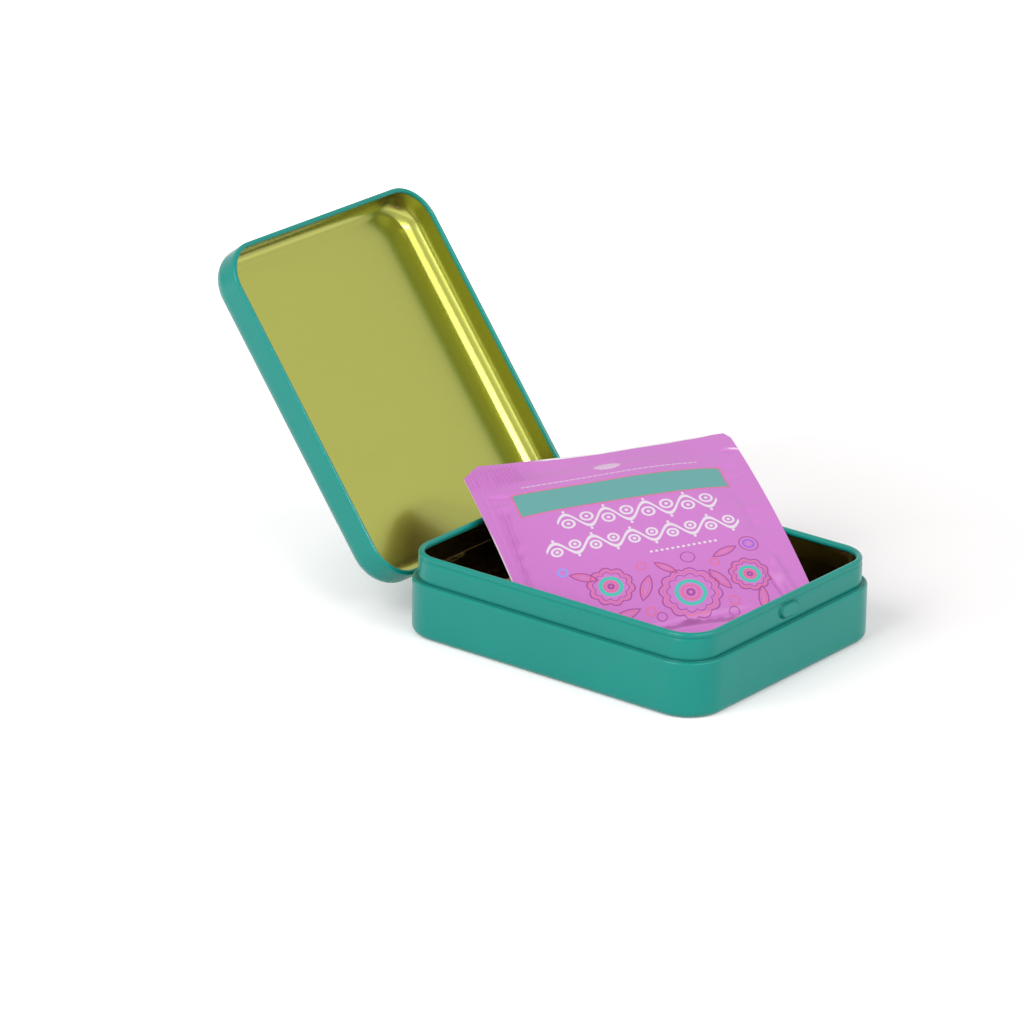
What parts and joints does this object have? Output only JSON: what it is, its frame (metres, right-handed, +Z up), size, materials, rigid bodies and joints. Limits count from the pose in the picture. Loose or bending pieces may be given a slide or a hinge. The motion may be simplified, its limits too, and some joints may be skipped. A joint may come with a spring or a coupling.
{
  "type": "tea tin",
  "caption": "Flat pressed tin for tea sachets, hinged lid standing open, gold inside, with one sealed sachet leaning in it.",
  "frame": {"origin": "centre of the tin's underside", "axes": "+Z up, X across the tin, +Y along it towards the hinge"},
  "size_m": [0.1033, 0.1673, 0.0934],
  "materials": {
    "tin": "glossy teal paint outside, gold lacquer inside",
    "pin": "drawn wire",
    "sachet": "satin coated, heat sealed"
  },
  "bodies": {
    "base": {"base_tin": "tin", "hinge_pin_left": "pin", "hinge_pin_right": "pin", "tea_sachet": "sachet"},
    "lid": {"lid_tin": "tin"}
  },
  "joints": [
    {"name": "lid_hinge", "type": "hinge", "parent": "base", "child": "lid", "pos_m": [0, 0.05006, 0.01412], "axis": [1, 0, 0], "range_deg": [0, 38]}
  ]
}
